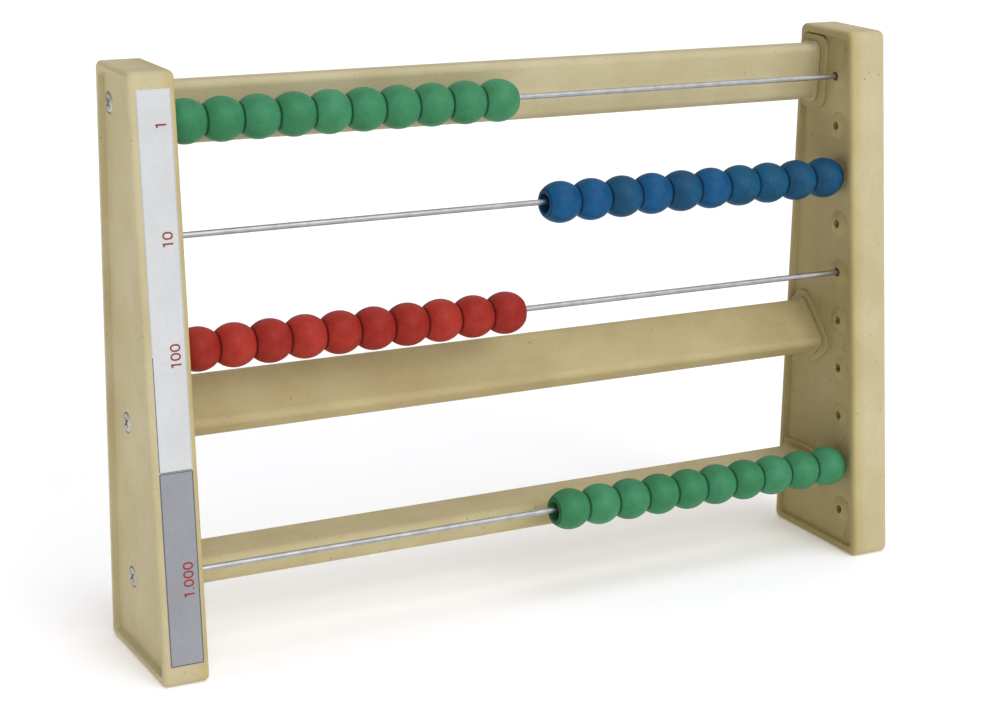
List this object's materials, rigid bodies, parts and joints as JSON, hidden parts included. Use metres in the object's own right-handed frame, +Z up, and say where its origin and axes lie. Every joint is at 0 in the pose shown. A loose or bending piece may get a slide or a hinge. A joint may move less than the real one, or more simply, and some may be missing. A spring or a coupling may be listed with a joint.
{
  "type": "bead abacus",
  "caption": "Freestanding bead abacus with two upright end plates, cross rails, steel wires and sliding coloured beads.",
  "frame": {"origin": "on the floor under the middle of the bounding box", "axes": "+X along the wires to the right as seen from the front, -Y towards the front, +Z up"},
  "size_m": [0.3184, 0.059, 0.2146],
  "materials": {
    "composite": "moulded wood-plastic composite, beige with fine dark specks",
    "bead_green": "satin moulded",
    "bead_blue": "satin moulded",
    "bead_red": "satin moulded",
    "wire": "drawn steel wire",
    "screw": "bright zinc plate",
    "label": "printed, matt"
  },
  "bodies": {
    "frame": {"end_plate_left": "composite", "end_plate_right": "composite", "top_rail": "composite", "middle_rail": "composite", "bottom_rail": "composite", "wire_1": "wire", "wire_2": "wire", "wire_3": "wire", "wire_4": "wire", "screws_left": "screw", "screws_right": "screw", "place_value_label": "label"},
    "row_1_bead_01": {"bead_1_01": "bead_green"},
    "row_1_bead_02": {"bead_1_02": "bead_green"},
    "row_1_bead_03": {"bead_1_03": "bead_green"},
    "row_1_bead_04": {"bead_1_04": "bead_green"},
    "row_1_bead_05": {"bead_1_05": "bead_green"},
    "row_1_bead_06": {"bead_1_06": "bead_green"},
    "row_1_bead_07": {"bead_1_07": "bead_green"},
    "row_1_bead_08": {"bead_1_08": "bead_green"},
    "row_1_bead_09": {"bead_1_09": "bead_green"},
    "row_1_bead_10": {"bead_1_10": "bead_green"},
    "row_2_bead_01": {"bead_2_01": "bead_blue"},
    "row_2_bead_02": {"bead_2_02": "bead_blue"},
    "row_2_bead_03": {"bead_2_03": "bead_blue"},
    "row_2_bead_04": {"bead_2_04": "bead_blue"},
    "row_2_bead_05": {"bead_2_05": "bead_blue"},
    "row_2_bead_06": {"bead_2_06": "bead_blue"},
    "row_2_bead_07": {"bead_2_07": "bead_blue"},
    "row_2_bead_08": {"bead_2_08": "bead_blue"},
    "row_2_bead_09": {"bead_2_09": "bead_blue"},
    "row_2_bead_10": {"bead_2_10": "bead_blue"},
    "row_3_bead_01": {"bead_3_01": "bead_red"},
    "row_3_bead_02": {"bead_3_02": "bead_red"},
    "row_3_bead_03": {"bead_3_03": "bead_red"},
    "row_3_bead_04": {"bead_3_04": "bead_red"},
    "row_3_bead_05": {"bead_3_05": "bead_red"},
    "row_3_bead_06": {"bead_3_06": "bead_red"},
    "row_3_bead_07": {"bead_3_07": "bead_red"},
    "row_3_bead_08": {"bead_3_08": "bead_red"},
    "row_3_bead_09": {"bead_3_09": "bead_red"},
    "row_3_bead_10": {"bead_3_10": "bead_red"},
    "row_4_bead_01": {"bead_4_01": "bead_green"},
    "row_4_bead_02": {"bead_4_02": "bead_green"},
    "row_4_bead_03": {"bead_4_03": "bead_green"},
    "row_4_bead_04": {"bead_4_04": "bead_green"},
    "row_4_bead_05": {"bead_4_05": "bead_green"},
    "row_4_bead_06": {"bead_4_06": "bead_green"},
    "row_4_bead_07": {"bead_4_07": "bead_green"},
    "row_4_bead_08": {"bead_4_08": "bead_green"},
    "row_4_bead_09": {"bead_4_09": "bead_green"},
    "row_4_bead_10": {"bead_4_10": "bead_green"}
  },
  "joints": [
    {"name": "row_1_bead_01_slide", "type": "slide", "parent": "frame", "child": "row_1_bead_01", "axis": [1, 0, 0], "range_m": [0, 0.0148]},
    {"name": "row_1_bead_02_slide", "type": "slide", "parent": "row_1_bead_01", "child": "row_1_bead_02", "axis": [1, 0, 0], "range_m": [0, 0.0148]},
    {"name": "row_1_bead_03_slide", "type": "slide", "parent": "row_1_bead_02", "child": "row_1_bead_03", "axis": [1, 0, 0], "range_m": [0, 0.0148]},
    {"name": "row_1_bead_04_slide", "type": "slide", "parent": "row_1_bead_03", "child": "row_1_bead_04", "axis": [1, 0, 0], "range_m": [0, 0.0148]},
    {"name": "row_1_bead_05_slide", "type": "slide", "parent": "row_1_bead_04", "child": "row_1_bead_05", "axis": [1, 0, 0], "range_m": [0, 0.0148]},
    {"name": "row_1_bead_06_slide", "type": "slide", "parent": "row_1_bead_05", "child": "row_1_bead_06", "axis": [1, 0, 0], "range_m": [0, 0.0148]},
    {"name": "row_1_bead_07_slide", "type": "slide", "parent": "row_1_bead_06", "child": "row_1_bead_07", "axis": [1, 0, 0], "range_m": [0, 0.0148]},
    {"name": "row_1_bead_08_slide", "type": "slide", "parent": "row_1_bead_07", "child": "row_1_bead_08", "axis": [1, 0, 0], "range_m": [0, 0.0148]},
    {"name": "row_1_bead_09_slide", "type": "slide", "parent": "row_1_bead_08", "child": "row_1_bead_09", "axis": [1, 0, 0], "range_m": [0, 0.0148]},
    {"name": "row_1_bead_10_slide", "type": "slide", "parent": "row_1_bead_09", "child": "row_1_bead_10", "axis": [1, 0, 0], "range_m": [0, 0.0148]},
    {"name": "row_2_bead_01_slide", "type": "slide", "parent": "frame", "child": "row_2_bead_01", "axis": [-1, 0, 0], "range_m": [0, 0.0148]},
    {"name": "row_2_bead_02_slide", "type": "slide", "parent": "row_2_bead_01", "child": "row_2_bead_02", "axis": [-1, 0, 0], "range_m": [0, 0.0148]},
    {"name": "row_2_bead_03_slide", "type": "slide", "parent": "row_2_bead_02", "child": "row_2_bead_03", "axis": [-1, 0, 0], "range_m": [0, 0.0148]},
    {"name": "row_2_bead_04_slide", "type": "slide", "parent": "row_2_bead_03", "child": "row_2_bead_04", "axis": [-1, 0, 0], "range_m": [0, 0.0148]},
    {"name": "row_2_bead_05_slide", "type": "slide", "parent": "row_2_bead_04", "child": "row_2_bead_05", "axis": [-1, 0, 0], "range_m": [0, 0.0148]},
    {"name": "row_2_bead_06_slide", "type": "slide", "parent": "row_2_bead_05", "child": "row_2_bead_06", "axis": [-1, 0, 0], "range_m": [0, 0.0148]},
    {"name": "row_2_bead_07_slide", "type": "slide", "parent": "row_2_bead_06", "child": "row_2_bead_07", "axis": [-1, 0, 0], "range_m": [0, 0.0148]},
    {"name": "row_2_bead_08_slide", "type": "slide", "parent": "row_2_bead_07", "child": "row_2_bead_08", "axis": [-1, 0, 0], "range_m": [0, 0.0148]},
    {"name": "row_2_bead_09_slide", "type": "slide", "parent": "row_2_bead_08", "child": "row_2_bead_09", "axis": [-1, 0, 0], "range_m": [0, 0.0148]},
    {"name": "row_2_bead_10_slide", "type": "slide", "parent": "row_2_bead_09", "child": "row_2_bead_10", "axis": [-1, 0, 0], "range_m": [0, 0.0148]},
    {"name": "row_3_bead_01_slide", "type": "slide", "parent": "frame", "child": "row_3_bead_01", "axis": [1, 0, 0], "range_m": [0, 0.0148]},
    {"name": "row_3_bead_02_slide", "type": "slide", "parent": "row_3_bead_01", "child": "row_3_bead_02", "axis": [1, 0, 0], "range_m": [0, 0.0148]},
    {"name": "row_3_bead_03_slide", "type": "slide", "parent": "row_3_bead_02", "child": "row_3_bead_03", "axis": [1, 0, 0], "range_m": [0, 0.0148]},
    {"name": "row_3_bead_04_slide", "type": "slide", "parent": "row_3_bead_03", "child": "row_3_bead_04", "axis": [1, 0, 0], "range_m": [0, 0.0148]},
    {"name": "row_3_bead_05_slide", "type": "slide", "parent": "row_3_bead_04", "child": "row_3_bead_05", "axis": [1, 0, 0], "range_m": [0, 0.0148]},
    {"name": "row_3_bead_06_slide", "type": "slide", "parent": "row_3_bead_05", "child": "row_3_bead_06", "axis": [1, 0, 0], "range_m": [0, 0.0148]},
    {"name": "row_3_bead_07_slide", "type": "slide", "parent": "row_3_bead_06", "child": "row_3_bead_07", "axis": [1, 0, 0], "range_m": [0, 0.0148]},
    {"name": "row_3_bead_08_slide", "type": "slide", "parent": "row_3_bead_07", "child": "row_3_bead_08", "axis": [1, 0, 0], "range_m": [0, 0.0148]},
    {"name": "row_3_bead_09_slide", "type": "slide", "parent": "row_3_bead_08", "child": "row_3_bead_09", "axis": [1, 0, 0], "range_m": [0, 0.0148]},
    {"name": "row_3_bead_10_slide", "type": "slide", "parent": "row_3_bead_09", "child": "row_3_bead_10", "axis": [1, 0, 0], "range_m": [0, 0.0148]},
    {"name": "row_4_bead_01_slide", "type": "slide", "parent": "frame", "child": "row_4_bead_01", "axis": [-1, 0, 0], "range_m": [0, 0.0148]},
    {"name": "row_4_bead_02_slide", "type": "slide", "parent": "row_4_bead_01", "child": "row_4_bead_02", "axis": [-1, 0, 0], "range_m": [0, 0.0148]},
    {"name": "row_4_bead_03_slide", "type": "slide", "parent": "row_4_bead_02", "child": "row_4_bead_03", "axis": [-1, 0, 0], "range_m": [0, 0.0148]},
    {"name": "row_4_bead_04_slide", "type": "slide", "parent": "row_4_bead_03", "child": "row_4_bead_04", "axis": [-1, 0, 0], "range_m": [0, 0.0148]},
    {"name": "row_4_bead_05_slide", "type": "slide", "parent": "row_4_bead_04", "child": "row_4_bead_05", "axis": [-1, 0, 0], "range_m": [0, 0.0148]},
    {"name": "row_4_bead_06_slide", "type": "slide", "parent": "row_4_bead_05", "child": "row_4_bead_06", "axis": [-1, 0, 0], "range_m": [0, 0.0148]},
    {"name": "row_4_bead_07_slide", "type": "slide", "parent": "row_4_bead_06", "child": "row_4_bead_07", "axis": [-1, 0, 0], "range_m": [0, 0.0148]},
    {"name": "row_4_bead_08_slide", "type": "slide", "parent": "row_4_bead_07", "child": "row_4_bead_08", "axis": [-1, 0, 0], "range_m": [0, 0.0148]},
    {"name": "row_4_bead_09_slide", "type": "slide", "parent": "row_4_bead_08", "child": "row_4_bead_09", "axis": [-1, 0, 0], "range_m": [0, 0.0148]},
    {"name": "row_4_bead_10_slide", "type": "slide", "parent": "row_4_bead_09", "child": "row_4_bead_10", "axis": [-1, 0, 0], "range_m": [0, 0.0148]}
  ]
}
